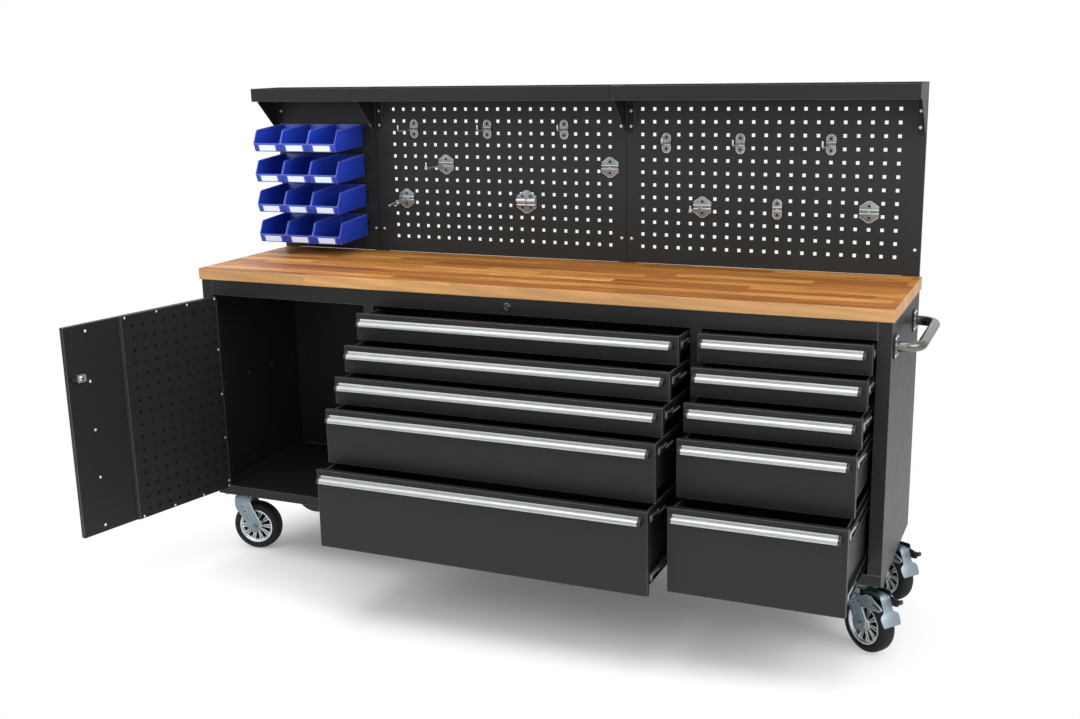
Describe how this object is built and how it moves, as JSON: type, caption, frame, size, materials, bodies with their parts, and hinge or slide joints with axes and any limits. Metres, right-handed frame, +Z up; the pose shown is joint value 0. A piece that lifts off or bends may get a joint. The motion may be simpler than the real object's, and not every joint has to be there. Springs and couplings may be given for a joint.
{
  "type": "workbench with drawers",
  "caption": "Mobile workshop bench: steel cabinet with a cupboard and two drawer banks on castors, wood worktop, and a tool wall with shelf, bins and perforated panels.",
  "frame": {"origin": "bottom centre of the bounding box with the door and drawers open as modelled; the wheels stand on z = 0", "axes": "+X along the bench from its cupboard end to its push handle, +Y from the user to the tool wall, +Z up"},
  "size_m": [2.2892, 1.0576, 1.4936],
  "materials": {
    "black_paint": "fine-textured powder coat",
    "tool_wall_paint": "fine-textured powder coat",
    "wood": "oiled solid wood",
    "aluminium": "brushed, clear anodised",
    "stainless": "brushed",
    "zinc": "bright zinc plate",
    "wheel": "soft rubber on an aluminium rim",
    "blue_plastic": "semi-gloss"
  },
  "bodies": {
    "cabinet": {"worktop": "wood", "side_panel_left": "black_paint", "side_panel_right": "black_paint", "back_panel": "black_paint", "base_tray": "black_paint", "front_frame": "black_paint", "push_handle": "stainless", "bin_panel": "tool_wall_paint", "tool_panel_middle": "tool_wall_paint", "tool_panel_right": "tool_wall_paint", "shelf_left": "black_paint", "shelf_middle": "black_paint", "shelf_right": "black_paint", "bin_1_1": "blue_plastic", "bin_1_2": "blue_plastic", "bin_1_3": "blue_plastic", "bin_2_1": "blue_plastic", "bin_2_2": "blue_plastic", "bin_2_3": "blue_plastic", "bin_3_1": "blue_plastic", "bin_3_2": "blue_plastic", "bin_3_3": "blue_plastic", "bin_4_1": "blue_plastic", "bin_4_2": "blue_plastic", "bin_4_3": "blue_plastic"},
    "door": {"door": "black_paint", "door_cover": "black_paint", "door_lock": "zinc"},
    "door_bolt": {"door_bolt": "zinc"},
    "chest_lock": {"chest_lock": "stainless"},
    "drawer_left_1": {"drawer_left_1": "black_paint", "handle_left_1": "aluminium"},
    "drawer_left_2": {"drawer_left_2": "black_paint", "handle_left_2": "aluminium"},
    "drawer_left_3": {"drawer_left_3": "black_paint", "handle_left_3": "aluminium"},
    "drawer_left_4": {"drawer_left_4": "black_paint", "handle_left_4": "aluminium"},
    "drawer_left_5": {"drawer_left_5": "black_paint", "handle_left_5": "aluminium"},
    "drawer_right_1": {"drawer_right_1": "black_paint", "handle_right_1": "aluminium"},
    "drawer_right_2": {"drawer_right_2": "black_paint", "handle_right_2": "aluminium"},
    "drawer_right_3": {"drawer_right_3": "black_paint", "handle_right_3": "aluminium"},
    "drawer_right_4": {"drawer_right_4": "black_paint", "handle_right_4": "aluminium"},
    "drawer_right_5": {"drawer_right_5": "black_paint", "handle_right_5": "aluminium"},
    "castor_front_left": {"castor_fork_front_left": "zinc"},
    "wheel_front_left": {"castor_wheel_front_left": "wheel"},
    "castor_rear_left": {"castor_fork_rear_left": "zinc"},
    "wheel_rear_left": {"castor_wheel_rear_left": "wheel"},
    "castor_front_right": {"castor_fork_front_right": "zinc"},
    "wheel_front_right": {"castor_wheel_front_right": "wheel"},
    "pedal_front_right": {"brake_pedal_front_right": "zinc"},
    "castor_rear_right": {"castor_fork_rear_right": "zinc"},
    "wheel_rear_right": {"castor_wheel_rear_right": "wheel"},
    "pedal_rear_right": {"brake_pedal_rear_right": "zinc"}
  },
  "joints": [
    {"name": "door_hinge", "type": "hinge", "parent": "cabinet", "child": "door", "pos_m": [-1.03441, 0.01653, 0.54835], "axis": [0, 0, 1], "range_deg": [-68, 102]},
    {"name": "door_bolt_slide", "type": "slide", "parent": "door", "child": "door_bolt", "axis": [-0.2079, -0.9781, 0], "range_m": [0, 0.016]},
    {"name": "chest_lock_turn", "type": "hinge", "parent": "cabinet", "child": "chest_lock", "pos_m": [-0.00291, 0.02153, 0.8907], "axis": [0, 1, 0], "range_deg": [0, 90]},
    {"name": "drawer_left_1_slide", "type": "slide", "parent": "cabinet", "child": "drawer_left_1", "axis": [0, -1, 0], "range_m": [-0.098, 0.302]},
    {"name": "drawer_left_2_slide", "type": "slide", "parent": "cabinet", "child": "drawer_left_2", "axis": [0, -1, 0], "range_m": [-0.172, 0.228]},
    {"name": "drawer_left_3_slide", "type": "slide", "parent": "cabinet", "child": "drawer_left_3", "axis": [0, -1, 0], "range_m": [-0.23, 0.17]},
    {"name": "drawer_left_4_slide", "type": "slide", "parent": "cabinet", "child": "drawer_left_4", "axis": [0, -1, 0], "range_m": [-0.287, 0.113]},
    {"name": "drawer_left_5_slide", "type": "slide", "parent": "cabinet", "child": "drawer_left_5", "axis": [0, -1, 0], "range_m": [-0.349, 0.051]},
    {"name": "drawer_right_1_slide", "type": "slide", "parent": "cabinet", "child": "drawer_right_1", "axis": [0, -1, 0], "range_m": [-0.045, 0.355]},
    {"name": "drawer_right_2_slide", "type": "slide", "parent": "cabinet", "child": "drawer_right_2", "axis": [0, -1, 0], "range_m": [-0.099, 0.301]},
    {"name": "drawer_right_3_slide", "type": "slide", "parent": "cabinet", "child": "drawer_right_3", "axis": [0, -1, 0], "range_m": [-0.163, 0.237]},
    {"name": "drawer_right_4_slide", "type": "slide", "parent": "cabinet", "child": "drawer_right_4", "axis": [0, -1, 0], "range_m": [-0.222, 0.178]},
    {"name": "drawer_right_5_slide", "type": "slide", "parent": "cabinet", "child": "drawer_right_5", "axis": [0, -1, 0], "range_m": [-0.297, 0.103]},
    {"name": "castor_swivel_front_left", "type": "hinge", "parent": "cabinet", "child": "castor_front_left", "pos_m": [-1.00991, 0.07953, 0.194], "axis": [0, 0, 1], "continuous": true},
    {"name": "castor_wheel_spin_front_left", "type": "hinge", "parent": "castor_front_left", "child": "wheel_front_left", "pos_m": [-0.97274, 0.08743, 0.08], "axis": [-0.2079, 0.9781, 0], "continuous": true},
    {"name": "castor_swivel_rear_left", "type": "hinge", "parent": "cabinet", "child": "castor_rear_left", "pos_m": [-1.00991, 0.43483, 0.194], "axis": [0, 0, 1], "continuous": true},
    {"name": "castor_wheel_spin_rear_left", "type": "hinge", "parent": "castor_rear_left", "child": "wheel_rear_left", "pos_m": [-0.9742, 0.44782, 0.08], "axis": [-0.342, 0.9397, 0], "continuous": true},
    {"name": "castor_swivel_front_right", "type": "hinge", "parent": "cabinet", "child": "castor_front_right", "pos_m": [1.00609, 0.07953, 0.194], "axis": [0, 0, 1], "continuous": true},
    {"name": "castor_wheel_spin_front_right", "type": "hinge", "parent": "castor_front_right", "child": "wheel_front_right", "pos_m": [1.03644, 0.05666, 0.08], "axis": [0.6018, 0.7986, 0], "continuous": true},
    {"name": "brake_pedal_press_front_right", "type": "hinge", "parent": "castor_front_right", "child": "pedal_front_right", "pos_m": [1.05721, 0.04101, 0.1687], "axis": [0.6018, 0.7986, 0], "range_deg": [0, 3.5]},
    {"name": "castor_swivel_rear_right", "type": "hinge", "parent": "cabinet", "child": "castor_rear_right", "pos_m": [1.00609, 0.43483, 0.194], "axis": [0, 0, 1], "continuous": true},
    {"name": "castor_wheel_spin_rear_right", "type": "hinge", "parent": "castor_rear_right", "child": "wheel_rear_right", "pos_m": [1.03644, 0.41196, 0.08], "axis": [0.6018, 0.7986, 0], "continuous": true},
    {"name": "brake_pedal_press_rear_right", "type": "hinge", "parent": "castor_rear_right", "child": "pedal_rear_right", "pos_m": [1.05721, 0.39631, 0.1687], "axis": [0.6018, 0.7986, 0], "range_deg": [0, 3.5]}
  ]
}
